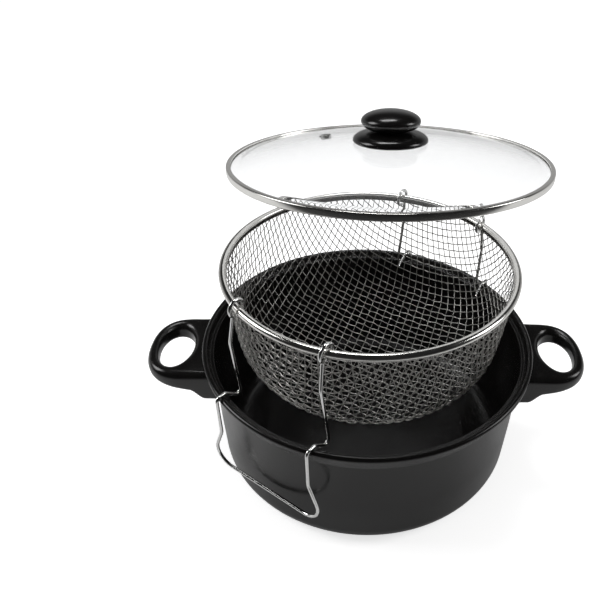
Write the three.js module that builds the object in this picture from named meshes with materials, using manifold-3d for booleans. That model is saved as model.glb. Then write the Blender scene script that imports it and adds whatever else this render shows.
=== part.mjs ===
// Deep fryer pot: a black steel pot with two moulded side handles, a wire
// frying basket that hangs on the pot's rim by two hooked wire bails, and a
// domed glass lid. Millimetres, Z up, origin at the centre of the pot's base.
// The basket stands in its draining place and the lid is held above it.

import * as THREE from 'three';
import { mergeVertices } from 'three/addons/utils/BufferGeometryUtils.js';
import Module from 'manifold-3d';

const wasm = await Module();
wasm.setup();

// Driving sizes of the pot
const potHeight = 102;
const rimRadius = 125;
const wallRadius = 117.8;
const lowerWallRadius = 116.4;
const baseCornerRadius = 15;
const wallThickness = 1.6;
const baseThickness = 2.4;
const beadRadius = 2.2;
const rimStepHeight = 16;
const rimFlareHeight = 7.4;
const ledgeDepth = 4.6;
const ledgeWidth = 3;

// Driving sizes of the side handles
const handleReach = 168.9;
const handleHalfWidth = 35.4;
const handleTop = 89;
const handleBottom = 63;

// Driving sizes of the basket
const basketRise = 64.5;
const basketDepth = 84;
const netBottomRadius = 69;
const netCornerRadius = 26;
const netThickness = 1.2;
const strandWidth = 2.2;
const bandOuterRadius = 105.4;
const bandHeight = 5.4;
const bandSheet = 0.7;
const rimWireRadius = 0.85;

// Driving sizes of the bails
const bailAzimuth = THREE.MathUtils.degToRad(54.1);
const bailWireRadius = 1.2;
const eyeRadius = 6;

// Driving sizes of the lid
const lidRadius = 118;
const lidDomeHeight = 18.6;
const glassThickness = 3;
const lidHeldPlace = new THREE.Vector3(13.4, 60.2, 211.8);
const lidTilt = THREE.MathUtils.degToRad(-8.63);
const lidLean = THREE.MathUtils.degToRad(-0.93);

// Clearance between pieces, and how far cutting tools run past their work
const gap = 0.3;
const overrun = 6;

// Facet counts
const roundFacets = 48;
const smallFacets = 16;
const wireSides = 6;

// Materials, as the eye sees them

function finish(color, roughness, metalness) {
  return new THREE.MeshStandardMaterial({ color, roughness, metalness });
}

const blackSteel = finish(0x3a3836, 0.38, 0.75);
const blackPlastic = finish(0x141313, 0.3, 0);
const chromedWire = finish(0xc9c9c6, 0.16, 1);
const brightBand = finish(0xb9b6ae, 0.24, 1);
const netWire = finish(0xbdbcb8, 0.3, 1);
const screwSteel = finish(0xa9a9a9, 0.35, 1);
const sealFibre = finish(0x2a2a2a, 0.8, 0);
const clearGlass = finish(0xeef3f2, 0.04, 0);
clearGlass.transparent = true;
clearGlass.opacity = 0.3;

// Common shaping functions

function named(name, geometry, material) {
  const mesh = new THREE.Mesh(geometry, material);
  mesh.name = name;
  return mesh;
}

function point(x, y) {
  return new THREE.Vector2(x, y);
}

// Points of an arc in a profile, from one angle to another, in degrees.
function arc(centreX, centreY, radius, from, to, steps) {
  const points = [];
  for (let i = 0; i <= steps; i += 1) {
    const angle = THREE.MathUtils.degToRad(from + ((to - from) * i) / steps);
    const x = centreX + radius * Math.cos(angle);
    const y = centreY + radius * Math.sin(angle);
    points.push(point(x, y));
  }
  return points;
}

// A turned piece about the Z axis. Its profile runs up the outside and down
// the inside, as (radius, height) points.
function turned(profile, facets) {
  const geometry = new THREE.LatheGeometry(profile, facets);
  geometry.rotateX(Math.PI / 2);
  return geometry;
}

// A turned piece whose profile closes on itself, such as a ring.
function turnedRing(profile, facets) {
  return turned([...profile, profile[0]], facets);
}

function welded(geometry) {
  const bare = geometry.index ? geometry.toNonIndexed() : geometry.clone();
  bare.deleteAttribute('normal');
  bare.deleteAttribute('uv');
  return mergeVertices(bare);
}

function solidOf(geometry) {
  const merged = welded(geometry);
  const mesh = new wasm.Mesh({
    numProp: 3,
    vertProperties: Float32Array.from(merged.attributes.position.array),
    triVerts: Uint32Array.from(merged.index.array),
  });
  return new wasm.Manifold(mesh);
}

function surfaceOf(positions, corners) {
  const geometry = new THREE.BufferGeometry();
  geometry.setAttribute('position', new THREE.BufferAttribute(positions, 3));
  geometry.setIndex(new THREE.BufferAttribute(corners, 1));
  geometry.computeVertexNormals();
  return geometry;
}

function geometryOf(solid) {
  const mesh = solid.getMesh();
  const positions = Float32Array.from(mesh.vertProperties);
  return surfaceOf(positions, Uint32Array.from(mesh.triVerts));
}

// Pot body: a drawn steel pot with a rolled bead round its rim and an inner
// ledge that the lid sits on.

const ledgeRadius = wallRadius - wallThickness + ledgeWidth;
const beadCentre = point(rimRadius - beadRadius, potHeight - beadRadius);
const wallTop = potHeight - rimStepHeight;
const flareTop = potHeight - rimFlareHeight;
const flareRadius = wallRadius + ledgeWidth;
const cornerCentreX = lowerWallRadius - baseCornerRadius;
const innerCornerRadius = baseCornerRadius - wallThickness;

const potOutside = [
  point(0, 0),
  ...arc(cornerCentreX, baseCornerRadius, baseCornerRadius, -90, 0, 5),
  point(wallRadius, wallTop),
  point(flareRadius, flareTop),
  ...arc(beadCentre.x, beadCentre.y, beadRadius, -60, 160, 6),
];
const potInside = [
  point(ledgeRadius + gap, potHeight - ledgeDepth),
  point(ledgeRadius - ledgeWidth + gap, potHeight - ledgeDepth),
  point(wallRadius - wallThickness, wallTop),
  ...arc(
    cornerCentreX,
    baseThickness + innerCornerRadius,
    innerCornerRadius,
    0,
    -90,
    5,
  ),
  point(0, baseThickness),
];
const potProfile = [...potOutside, ...potInside];
const potBody = named('pot_body', turned(potProfile, roundFacets), blackSteel);

// The pot's outside, grown by the gap, that pieces on the wall are cut with.
function potWallCutter() {
  const grown = [
    point(0, -overrun),
    point(lowerWallRadius + gap, -overrun),
    point(lowerWallRadius + gap, baseCornerRadius),
    point(wallRadius + gap, wallTop),
    point(flareRadius + gap, flareTop),
    point(flareRadius + gap, potHeight + overrun),
    point(0, potHeight + overrun),
  ];
  return solidOf(turned(grown, roundFacets));
}

// Weld stud: a disc with a threaded boss, welded to the pot's wall.

const studHeight = 77.5;
const studFlangeRadius = 8;
const studFlangeThickness = 3;
const studBossRadius = 4.5;
const studBossLength = 9;
const studBoreRadius = 2.3;
const studStart = wallRadius - overrun;
const studEnd = wallRadius + studBossLength;

function studSolid() {
  const profile = [
    point(0, studStart),
    point(studFlangeRadius, studStart),
    point(studFlangeRadius, wallRadius + studFlangeThickness),
    point(studBossRadius, wallRadius + studFlangeThickness),
    point(studBossRadius, studEnd),
    point(studBoreRadius, studEnd),
    point(studBoreRadius, wallRadius + studFlangeThickness),
    point(0, wallRadius + studFlangeThickness),
  ];
  const geometry = turned(profile, smallFacets);
  geometry.rotateY(Math.PI / 2);
  geometry.translate(0, 0, studHeight);
  return solidOf(geometry).subtract(potWallCutter());
}

// Side handle: a moulded D-shaped loop with a finger hole. Its top is flat
// with rounded edges, its underside rises outward from a thick pad that
// bears on the pot's wall.

const handleInnerX = 100;
const handleStraightX = 140;
const handleEdgeRounding = 3.6;
const fingerHoleX = 148.2;
const fingerHoleHalfDepth = 12.8;
const fingerHoleHalfWidth = 23.2;
const padReach = 123;
const loopTipThickness = 10;
const loopRootThickness = 17.5;
const loopRootX = 134;
const endFullnessShare = 0.62;
const flankFullnessShare = 0.72;
const screwHeadRadius = 4;
const screwHeadHeight = 2.6;
const screwShankRadius = 2;
const fingerHoleInnerX = fingerHoleX - fingerHoleHalfDepth;
const screwSeatX = fingerHoleInnerX - screwHeadHeight - gap;

function handlePlan() {
  const plan = new THREE.Shape();
  const tipRun = handleReach - handleStraightX;
  const flankX = handleStraightX + tipRun * flankFullnessShare;
  const noseY = handleHalfWidth * endFullnessShare;
  plan.moveTo(handleInnerX, -handleHalfWidth);
  plan.lineTo(handleStraightX, -handleHalfWidth);
  plan.bezierCurveTo(flankX, -handleHalfWidth, handleReach, -noseY, handleReach, 0);
  plan.bezierCurveTo(
    handleReach,
    noseY,
    flankX,
    handleHalfWidth,
    handleStraightX,
    handleHalfWidth,
  );
  plan.lineTo(handleInnerX, handleHalfWidth);
  plan.closePath();
  const hole = new THREE.Path();
  hole.absellipse(
    fingerHoleX,
    0,
    fingerHoleHalfDepth,
    fingerHoleHalfWidth,
    0,
    Math.PI * 2,
  );
  plan.holes.push(hole);
  return plan;
}

function handleSide() {
  const side = new THREE.Shape();
  const tipX = handleReach + overrun;
  const tipBottom = handleTop - loopTipThickness;
  const rootBottom = handleTop - loopRootThickness;
  const stepMiddleX = (padReach + loopRootX) / 2;
  side.moveTo(handleInnerX - overrun, handleTop + overrun);
  side.lineTo(handleInnerX - overrun, handleBottom);
  side.lineTo(padReach, handleBottom);
  side.bezierCurveTo(
    stepMiddleX,
    handleBottom,
    stepMiddleX,
    rootBottom,
    loopRootX,
    rootBottom,
  );
  side.lineTo(tipX, tipBottom);
  side.lineTo(tipX, handleTop + overrun);
  side.closePath();
  return side;
}

function handleSolid() {
  const blockHeight = handleTop - handleBottom;
  const block = new THREE.ExtrudeGeometry(handlePlan(), {
    depth: blockHeight - 2 * handleEdgeRounding,
    bevelThickness: handleEdgeRounding,
    bevelSize: handleEdgeRounding,
    bevelOffset: -handleEdgeRounding,
    bevelSegments: 3,
    curveSegments: 9,
    steps: 1,
  });
  block.translate(0, 0, handleBottom + handleEdgeRounding);
  const slab = new THREE.ExtrudeGeometry(handleSide(), {
    depth: 2 * handleHalfWidth + 2 * overrun,
    bevelEnabled: false,
    curveSegments: 5,
    steps: 1,
  });
  slab.rotateX(Math.PI / 2);
  slab.translate(0, handleHalfWidth + overrun, 0);
  const pocketProfile = [
    point(0, studStart - overrun),
    point(studFlangeRadius + gap, studStart - overrun),
    point(studFlangeRadius + gap, wallRadius + studFlangeThickness + gap),
    point(studBossRadius + gap, wallRadius + studFlangeThickness + gap),
    point(studBossRadius + gap, studEnd + gap),
    point(screwShankRadius + gap, studEnd + gap),
    point(screwShankRadius + gap, screwSeatX),
    point(screwHeadRadius + gap, screwSeatX),
    point(screwHeadRadius + gap, fingerHoleX),
    point(0, fingerHoleX),
  ];
  const pocket = turned(pocketProfile, smallFacets);
  pocket.rotateY(Math.PI / 2);
  pocket.translate(0, 0, studHeight);
  return solidOf(block)
    .intersect(solidOf(slab))
    .subtract(potWallCutter())
    .subtract(solidOf(pocket));
}

// Handle screw: a cap screw through the handle's web into the stud.

function handleScrewGeometry() {
  const shankEnd = wallRadius + studFlangeThickness + gap;
  const seat = screwSeatX + gap;
  const profile = [
    point(0, shankEnd),
    point(screwShankRadius, shankEnd),
    point(screwShankRadius, seat),
    point(screwHeadRadius, seat),
    point(screwHeadRadius, seat + screwHeadHeight),
    point(0, seat + screwHeadHeight),
  ];
  const geometry = turned(profile, smallFacets);
  geometry.rotateY(Math.PI / 2);
  geometry.translate(0, 0, studHeight);
  return geometry;
}

function handleSet(side, turn) {
  const group = new THREE.Group();
  group.add(named('weld_stud_' + side, geometryOf(studSolid()), screwSteel));
  group.add(named('side_handle_' + side, geometryOf(handleSolid()), blackPlastic));
  group.add(named('handle_screw_' + side, handleScrewGeometry(), screwSteel));
  group.rotation.z = turn;
  return group;
}

const pot = new THREE.Group();
pot.add(potBody);
pot.add(handleSet('right', 0));
pot.add(handleSet('left', Math.PI));

// Rim band: a steel sheet channel, open below, that is closed over the net's
// hem and over a stiffening wire.

const bandInnerRadius =
  bandOuterRadius - 2 * bandSheet - 2 * rimWireRadius - netThickness - 3 * gap;
const bandRadius = (bandOuterRadius + bandInnerRadius) / 2;
const bandHalfWidth = (bandOuterRadius - bandInnerRadius) / 2;
const bandBottom = -bandHeight / 2;
const bandShoulder = bandHeight / 2 - bandHalfWidth;
const hemRadius = bandInnerRadius + bandSheet + gap + netThickness / 2;
const rimWireRingRadius = bandOuterRadius - bandSheet - gap - rimWireRadius;

const bandProfile = [
  point(bandOuterRadius, bandBottom),
  ...arc(bandRadius, bandShoulder, bandHalfWidth, 0, 180, 4),
  point(bandInnerRadius, bandBottom),
  point(bandInnerRadius + bandSheet, bandBottom),
  ...arc(bandRadius, bandShoulder, bandHalfWidth - bandSheet, 180, 0, 3),
  point(bandOuterRadius - bandSheet, bandBottom),
];
const rimBand = named('basket_rim_band', turnedRing(bandProfile, roundFacets), brightBand);

// Rim wire: the ring that stiffens the band from within.

const rimWireProfile = arc(rimWireRingRadius, bandShoulder, rimWireRadius, 0, 288, 4);
const rimWire = named(
  'basket_rim_wire',
  turnedRing(rimWireProfile, roundFacets),
  screwSteel,
);

// Basket net: a flat square mesh that is drawn into a bowl. The mesh is laid
// out on the flat sheet, cut to a round blank, closed by a hem, and every
// point of it then goes to its place on the bowl: its distance from the
// middle of the sheet becomes a way along the bowl's profile.

const cellsToEyeAlong = 8;
const cellsToEyeAcross = 3;
const hemHeight = 2.9;
const eyeAngle = Math.atan2(cellsToEyeAcross, cellsToEyeAlong);

const bowlFloor = -basketDepth + netThickness / 2;
const bowlCornerZ = bowlFloor + netCornerRadius;
const toHem = new THREE.Vector2(hemRadius - netBottomRadius, bandBottom - bowlCornerZ);
const wallAngle = toHem.angle() - Math.acos(netCornerRadius / toHem.length());
const cornerTurn = wallAngle + Math.PI / 2;
const cornerRun = netCornerRadius * cornerTurn;
const wallRun = Math.sqrt(toHem.lengthSq() - netCornerRadius ** 2);
const blankRadius = netBottomRadius + cornerRun + wallRun;
const netPitch = (blankRadius * Math.cos(eyeAngle)) / cellsToEyeAlong;

// Place and outward direction on the bowl's profile, by the way along it.
function bowlProfile(way) {
  if (way <= netBottomRadius) {
    return { r: way, z: bowlFloor, outR: 0, outZ: -1 };
  }
  if (way <= netBottomRadius + cornerRun) {
    const angle = (way - netBottomRadius) / netCornerRadius - Math.PI / 2;
    const outR = Math.cos(angle);
    const outZ = Math.sin(angle);
    const r = netBottomRadius + netCornerRadius * outR;
    const z = bowlCornerZ + netCornerRadius * outZ;
    return { r, z, outR, outZ };
  }
  const outR = Math.cos(wallAngle);
  const outZ = Math.sin(wallAngle);
  const climb = Math.min(way, blankRadius) - netBottomRadius - cornerRun;
  const r = netBottomRadius + netCornerRadius * outR - climb * outZ;
  const z = bowlCornerZ + netCornerRadius * outZ + climb * outR;
  if (way <= blankRadius) {
    return { r, z, outR, outZ };
  }
  return { r: hemRadius, z: bandBottom + way - blankRadius, outR: 1, outZ: 0 };
}

// Edges of the strands across the sheet, in order. The strands straddle the
// middle of the sheet.
function strandEdges() {
  const edges = [];
  for (let i = -cellsToEyeAlong - 2; i <= cellsToEyeAlong + 1; i += 1) {
    const centre = (i + 1 / 2) * netPitch;
    edges.push(centre - strandWidth / 2, centre + strandWidth / 2);
  }
  return edges;
}

// The part of one rectangle of the sheet that lies on the round blank.
function cutToBlank(left, low, right, high) {
  const corners = [
    point(left, low),
    point(right, low),
    point(right, high),
    point(left, high),
  ];
  const kept = [];
  corners.forEach((start, i) => {
    const end = corners[(i + 1) % 4];
    if (start.length() < blankRadius) {
      kept.push(start);
    }
    const level = start.y === end.y;
    const fixed = level ? start.y : start.x;
    if (Math.abs(fixed) >= blankRadius) {
      return;
    }
    const reach = Math.sqrt(blankRadius ** 2 - fixed ** 2);
    const from = level ? start.x : start.y;
    const to = level ? end.x : end.y;
    const crossings = from < to ? [-reach, reach] : [reach, -reach];
    for (const crossing of crossings) {
      if ((crossing - from) * (crossing - to) < 0) {
        kept.push(level ? point(crossing, fixed) : point(fixed, crossing));
      }
    }
  });
  return kept;
}

function basketNetGeometry() {
  const places = [];
  const indexOf = new Map();
  function indexAt(place) {
    const key = place.x.toFixed(4) + ' ' + place.y.toFixed(4);
    if (!indexOf.has(key)) {
      indexOf.set(key, places.length);
      places.push(place);
    }
    return indexOf.get(key);
  }

  // Patches of metal on the flat sheet: crossings and strands, then the hem.
  const patches = [];
  const rimPlaces = new Map();
  const edges = strandEdges();
  for (let i = 0; i + 1 < edges.length; i += 1) {
    for (let j = 0; j + 1 < edges.length; j += 1) {
      const outline = cutToBlank(edges[i], edges[j], edges[i + 1], edges[j + 1]);
      const isMetal = i % 2 === 0 || j % 2 === 0;
      const indices = outline.map(indexAt);
      outline.forEach((place, k) => {
        if (place.length() > blankRadius - gap / 1000) {
          rimPlaces.set(indices[k], place);
        }
      });
      if (isMetal && outline.length > 2) {
        patches.push(indices);
      }
    }
  }
  const rim = [...rimPlaces.values()].sort((a, b) => a.angle() - b.angle());
  const hemTop = rim.map((place) => {
    return indexAt(place.clone().setLength(blankRadius + hemHeight));
  });
  rim.forEach((place, k) => {
    const next = (k + 1) % rim.length;
    patches.push([indexAt(place), hemTop[k], hemTop[next], indexAt(rim[next])]);
  });

  // Both faces of the sheet, and a wall along every edge that one patch has.
  const positions = new Float32Array(places.length * 6);
  places.forEach((place, i) => {
    const azimuth = place.angle();
    const bowl = bowlProfile(place.length());
    for (const [face, side] of [[0, -1], [1, 1]]) {
      const r = bowl.r + (side * bowl.outR * netThickness) / 2;
      const z = bowl.z + (side * bowl.outZ * netThickness) / 2;
      const start = 3 * (2 * i + face);
      positions.set([r * Math.cos(azimuth), r * Math.sin(azimuth), z], start);
    }
  });
  const corners = [];
  const openEdges = new Map();
  for (const patch of patches) {
    for (let k = 1; k + 1 < patch.length; k += 1) {
      corners.push(2 * patch[0], 2 * patch[k], 2 * patch[k + 1]);
      corners.push(2 * patch[0] + 1, 2 * patch[k + 1] + 1, 2 * patch[k] + 1);
    }
    patch.forEach((from, k) => {
      const to = patch[(k + 1) % patch.length];
      const opposite = to + ' ' + from;
      if (openEdges.has(opposite)) {
        openEdges.delete(opposite);
      } else {
        openEdges.set(from + ' ' + to, [from, to]);
      }
    });
  }
  for (const [from, to] of openEdges.values()) {
    corners.push(2 * to, 2 * from, 2 * from + 1);
    corners.push(2 * to, 2 * from + 1, 2 * to + 1);
  }
  return surfaceOf(positions, Uint32Array.from(corners));
}

const basketNet = named('basket_net', basketNetGeometry(), netWire);
basketNet.rotation.z = bailAzimuth;

// Bails: one bent wire each. An eye at either end goes round the rim band and
// carries it by its inner lower edge. The leg leaves the eye below the band and
// goes down inside the pot, slants inward from a knee, hooks over the pot's
// rim, drops outside it and spreads, and the two legs meet in a level grip. In
// this section X points outward across the rim, Y runs along the grip, and Z
// is measured from the middle of the rim band.

const eyeOutset = 0.15;
const eyeLift = 0.25;
const eyeX = bandRadius * Math.cos(eyeAngle) + eyeOutset;
const eyeY = bandRadius * Math.sin(eyeAngle);
const rimZ = -basketRise;
const eyeOpeningAngle = 270;
const eyeLegAngle = -50;
const eyeSteps = 11;
const legSpread = 3;
const kneeReach = 104;
const kneeRise = 40.5;
const hookInset = 10.4;
const hookDip = 10.5;
const hookClearance = 0.8;
const crestInset = 0.9;
const gripDrop = 63.5;
const spreadStartDrop = 30;
const spreadWidth = 13.8;
const kneeBend = 12;
const hookBend = 3;
const spreadBend = 9;
const gripBend = 13;
const bendSteps = 3;

// Distance outward, at a given place along the grip, of a circle round the axis.
function outwardOf(radius, along) {
  return Math.sqrt(radius ** 2 - along ** 2);
}

const hookY = eyeY + legSpread;
const innerWallX = outwardOf(wallRadius - wallThickness, hookY + bailWireRadius);
const beadInnerX = outwardOf(rimRadius - 2 * beadRadius, hookY);
const hookOuterX =
  outwardOf(rimRadius, hookY - bailWireRadius) + bailWireRadius + hookClearance;
const crestZ = rimZ + gap + bailWireRadius;

// A curve through given stations, which a wire's skin then follows exactly.
class StationCurve extends THREE.Curve {
  constructor(stations) {
    super();
    this.stations = stations;
  }

  getPoint(t, target = new THREE.Vector3()) {
    const last = this.stations.length - 1;
    const step = Math.min(Math.floor(t * last), last - 1);
    const from = this.stations[step];
    return target.lerpVectors(from, this.stations[step + 1], t * last - step);
  }

  getUtoTmapping(u) {
    return u;
  }
}

// Stations of a bend between two straight runs of wire.
function bendStations(before, corner, after, bendRadius) {
  const back = before.clone().sub(corner).normalize();
  const ahead = after.clone().sub(corner).normalize();
  const halfAngle = back.angleTo(ahead) / 2;
  const run = bendRadius / Math.tan(halfAngle);
  const toCentre = back.clone().add(ahead).setLength(bendRadius / Math.sin(halfAngle));
  const centre = corner.clone().add(toCentre);
  const start = corner.clone().addScaledVector(back, run).sub(centre);
  const axis = back.clone().cross(ahead).normalize();
  const turn = -(Math.PI - 2 * halfAngle);
  const stations = [];
  for (let i = 0; i <= bendSteps; i += 1) {
    const arm = start.clone().applyAxisAngle(axis, (turn * i) / bendSteps);
    stations.push(centre.clone().add(arm));
  }
  return stations;
}

function bailStations() {
  const half = [];
  for (let i = 0; i <= eyeSteps; i += 1) {
    const degrees = THREE.MathUtils.lerp(eyeOpeningAngle, eyeLegAngle, i / eyeSteps);
    const angle = THREE.MathUtils.degToRad(degrees);
    const x = eyeX + eyeRadius * Math.cos(angle);
    const z = eyeLift + eyeRadius * Math.sin(angle);
    half.push(new THREE.Vector3(x, eyeY, z));
  }
  const spreadY = hookY + spreadWidth;
  const gripZ = rimZ - gripDrop;
  const runs = [
    { at: [kneeReach, eyeY + legSpread / 2, rimZ + kneeRise], bend: kneeBend },
    { at: [innerWallX - hookInset, hookY, rimZ - hookDip], bend: hookBend },
    { at: [beadInnerX - crestInset, hookY, crestZ], bend: hookBend },
    { at: [hookOuterX, hookY, crestZ], bend: hookBend },
    { at: [hookOuterX, hookY, rimZ - spreadStartDrop], bend: spreadBend },
    { at: [hookOuterX, spreadY, gripZ], bend: gripBend },
    { at: [hookOuterX, 0, gripZ], bend: 0 },
  ].map((run) => ({ at: new THREE.Vector3(...run.at), bend: run.bend }));
  let before = half[half.length - 1];
  for (let i = 0; i + 1 < runs.length; i += 1) {
    const { at, bend } = runs[i];
    half.push(...bendStations(before, at, runs[i + 1].at, bend));
    before = at;
  }
  const mirror = new THREE.Vector3(1, -1, 1);
  const otherHalf = half.map((station) => station.clone().multiply(mirror));
  return [...half, ...otherHalf.reverse()];
}

function wireGeometry(stations, radius) {
  const section = new THREE.Shape();
  section.setFromPoints(arc(0, 0, radius, 0, 360 - 360 / wireSides, wireSides - 1));
  return new THREE.ExtrudeGeometry(section, {
    steps: stations.length - 1,
    extrudePath: new StationCurve(stations),
    bevelEnabled: false,
  });
}

function bail(name, azimuth) {
  const mesh = named(name, wireGeometry(bailStations(), bailWireRadius), chromedWire);
  mesh.rotation.z = azimuth;
  return mesh;
}

const basket = new THREE.Group();
basket.add(rimBand, rimWire, basketNet);
basket.add(bail('bail_back', bailAzimuth));
basket.add(bail('bail_front', bailAzimuth + Math.PI));
basket.position.z = potHeight + basketRise;

// Lid glass: a pressed dome with a flat margin, a centre hole for the knob's
// screw and a vent hole. Heights are measured from the underside of its band.

const lidBandSheet = 0.7;
const lidBandWidth = 3.4;
const lidBandHeight = glassThickness + 2 * lidBandSheet + 2 * gap;
const glassRadius = lidRadius - lidBandSheet - gap;
const glassMargin = 6;
const domeRadius = glassRadius - glassMargin;
const glassBottom = lidBandSheet + gap;
const glassTop = glassBottom + glassThickness;
const domeRise = lidDomeHeight - glassTop;
const domeSphereRadius = (domeRadius ** 2 + domeRise ** 2) / (2 * domeRise);
const domeSteps = 5;
const screwHoleRadius = 3.4;
const ventRadius = 54.8;
const ventAzimuth = THREE.MathUtils.degToRad(150.6);
const ventHoleRadius = 2.9;

function domeTopAt(radius) {
  const drop = domeSphereRadius - Math.sqrt(domeSphereRadius ** 2 - radius ** 2);
  return lidDomeHeight - drop;
}

function domeProfile(below) {
  const points = [];
  for (let i = 0; i <= domeSteps; i += 1) {
    const radius = domeRadius + ((screwHoleRadius - domeRadius) * i) / domeSteps;
    points.push(point(radius, domeTopAt(radius) - below));
  }
  return points;
}

const ventPlace = new THREE.Group();
ventPlace.position.set(
  ventRadius * Math.cos(ventAzimuth),
  ventRadius * Math.sin(ventAzimuth),
  domeTopAt(ventRadius),
);
const ventUp = ventPlace.position.clone();
ventUp.z = Math.sqrt(domeSphereRadius ** 2 - ventRadius ** 2);
ventPlace.quaternion.setFromUnitVectors(new THREE.Vector3(0, 0, 1), ventUp.normalize());
ventPlace.updateMatrix();

function lidGlassGeometry() {
  const profile = [
    point(glassRadius, glassBottom),
    point(glassRadius, glassTop),
    ...domeProfile(0),
    ...domeProfile(glassThickness).reverse(),
  ];
  const drill = new THREE.CylinderGeometry(
    ventHoleRadius,
    ventHoleRadius,
    2 * glassThickness + 2 * overrun,
    smallFacets,
  );
  drill.rotateX(Math.PI / 2);
  drill.applyMatrix4(ventPlace.matrix);
  const glass = solidOf(turnedRing(profile, roundFacets));
  return geometryOf(glass.subtract(solidOf(drill)));
}

const lidGlass = named('lid_glass', lidGlassGeometry(), clearGlass);

// Lid band: a steel channel closed over the edge of the glass.

const lidBandProfile = [
  point(lidRadius - lidBandWidth, 0),
  point(lidRadius, 0),
  point(lidRadius, lidBandHeight),
  point(lidRadius - lidBandWidth, lidBandHeight),
  point(lidRadius - lidBandWidth, lidBandHeight - lidBandSheet),
  point(lidRadius - lidBandSheet, lidBandHeight - lidBandSheet),
  point(lidRadius - lidBandSheet, lidBandSheet),
  point(lidRadius - lidBandWidth, lidBandSheet),
];
const lidBand = named('lid_rim_band', turnedRing(lidBandProfile, roundFacets), brightBand);

// Vent grommet: a flanged eyelet in the glass.

const grommetFlangeRadius = 3.9;
const grommetFlangeThickness = 0.8;
const grommetWall = 0.9;
const grommetOuterRadius = ventHoleRadius - gap;
const grommetTop = gap + grommetFlangeThickness;
const grommetBottom = -glassThickness - gap - grommetFlangeThickness;
const grommetProfile = [
  point(grommetOuterRadius - grommetWall, grommetBottom),
  point(grommetFlangeRadius, grommetBottom),
  point(grommetFlangeRadius, grommetBottom + grommetFlangeThickness),
  point(grommetOuterRadius, grommetBottom + grommetFlangeThickness),
  point(grommetOuterRadius, gap),
  point(grommetFlangeRadius, gap),
  point(grommetFlangeRadius - grommetFlangeThickness / 2, grommetTop),
  point(grommetOuterRadius - grommetWall, grommetTop),
];
ventPlace.add(
  named('vent_grommet', turnedRing(grommetProfile, smallFacets), screwSteel),
);

// Knob fixing: a washer under the glass, a seal on top of it, and one screw
// through both into the knob.

const washerRadius = 8;
const washerThickness = 1.2;
const washerBore = 2.7;
const lidScrewRadius = 2.4;
const lidScrewHeadRadius = 4.6;
const lidScrewHeadHeight = 2.4;
const lidScrewLength = 22;
const washerTop = lidDomeHeight - glassThickness - 2 * gap;
const sealBottom = lidDomeHeight + gap;

function washer(name, bottom, material) {
  const profile = [
    point(washerBore, bottom),
    point(washerRadius, bottom),
    point(washerRadius, bottom + washerThickness),
    point(washerBore, bottom + washerThickness),
  ];
  return named(name, turnedRing(profile, smallFacets), material);
}

const lidScrewSeat = washerTop - washerThickness - gap;
const lidScrewProfile = [
  point(0, lidScrewSeat - lidScrewHeadHeight),
  point(lidScrewHeadRadius, lidScrewSeat - lidScrewHeadHeight),
  point(lidScrewHeadRadius, lidScrewSeat),
  point(lidScrewRadius, lidScrewSeat),
  point(lidScrewRadius, lidScrewSeat + lidScrewLength),
  point(0, lidScrewSeat + lidScrewLength),
];

// Knob skirt: a shallow domed disc on the glass that carries the knob.

const skirtRadius = 27.2;
const skirtEdge = 1.2;
const skirtTop = 25.3;
const neckRadius = 11.3;
const skirtSteps = 4;
const skirtSeat = sealBottom + washerThickness + gap;
const skirtEdgeBottom = domeTopAt(skirtRadius) + gap;

function skirtDome() {
  const points = [];
  const edgeTop = skirtEdgeBottom + skirtEdge;
  for (let i = 0; i <= skirtSteps; i += 1) {
    const angle = (Math.PI / 2) * (i / skirtSteps);
    const radius = neckRadius + (skirtRadius - neckRadius) * Math.cos(angle);
    points.push(point(radius, edgeTop + (skirtTop - edgeTop) * Math.sin(angle)));
  }
  return points;
}

const skirtProfile = [
  point(washerBore, skirtSeat),
  point(washerRadius + gap, skirtSeat),
  point(washerRadius + gap, sealBottom),
  point(skirtRadius, skirtEdgeBottom),
  ...skirtDome(),
  point(washerBore, skirtTop),
];

// Lid knob: a mushroom-shaped grip, moulded in one with its neck.

const knobTop = 40;
const capRadius = 21.4;
const capWidestHeight = 32.2;
const capUnderside = 26.2;
const knobBottom = skirtTop + gap;
const knobBoreTop = lidScrewSeat + lidScrewLength + gap;
const capSteps = 5;

function quarterCurve(fromRadius, toRadius, fromZ, toZ, isUpper) {
  const points = [];
  for (let i = 1; i <= capSteps; i += 1) {
    const angle = (Math.PI / 2) * (i / capSteps);
    const outShare = isUpper ? 1 - Math.cos(angle) : Math.sin(angle);
    const upShare = isUpper ? Math.sin(angle) : 1 - Math.cos(angle);
    const radius = fromRadius + (toRadius - fromRadius) * outShare;
    points.push(point(radius, fromZ + (toZ - fromZ) * upShare));
  }
  return points;
}

const knobProfile = [
  point(0, knobBoreTop),
  point(washerBore, knobBoreTop),
  point(washerBore, knobBottom),
  point(neckRadius, knobBottom),
  point(neckRadius, capUnderside),
  ...quarterCurve(neckRadius, capRadius, capUnderside, capWidestHeight, false),
  ...quarterCurve(capRadius, 0, capWidestHeight, knobTop, true),
];
const knobFacets = 28;

const lid = new THREE.Group();
lid.add(lidGlass, lidBand, ventPlace);
lid.add(washer('knob_washer', washerTop - washerThickness, screwSteel));
lid.add(washer('knob_seal', sealBottom, sealFibre));
lid.add(named('knob_screw', turned(lidScrewProfile, smallFacets), screwSteel));
lid.add(named('knob_skirt', turnedRing(skirtProfile, knobFacets), blackPlastic));
lid.add(named('lid_knob', turned(knobProfile, knobFacets), blackPlastic));
lid.position.copy(lidHeldPlace);
lid.rotation.set(lidTilt, lidLean, 0);

const fryerPot = new THREE.Group();
fryerPot.add(pot, basket, lid);

export default fryerPot;
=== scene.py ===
import math

import bpy
import numpy as np
from mathutils import Matrix, Vector


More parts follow.
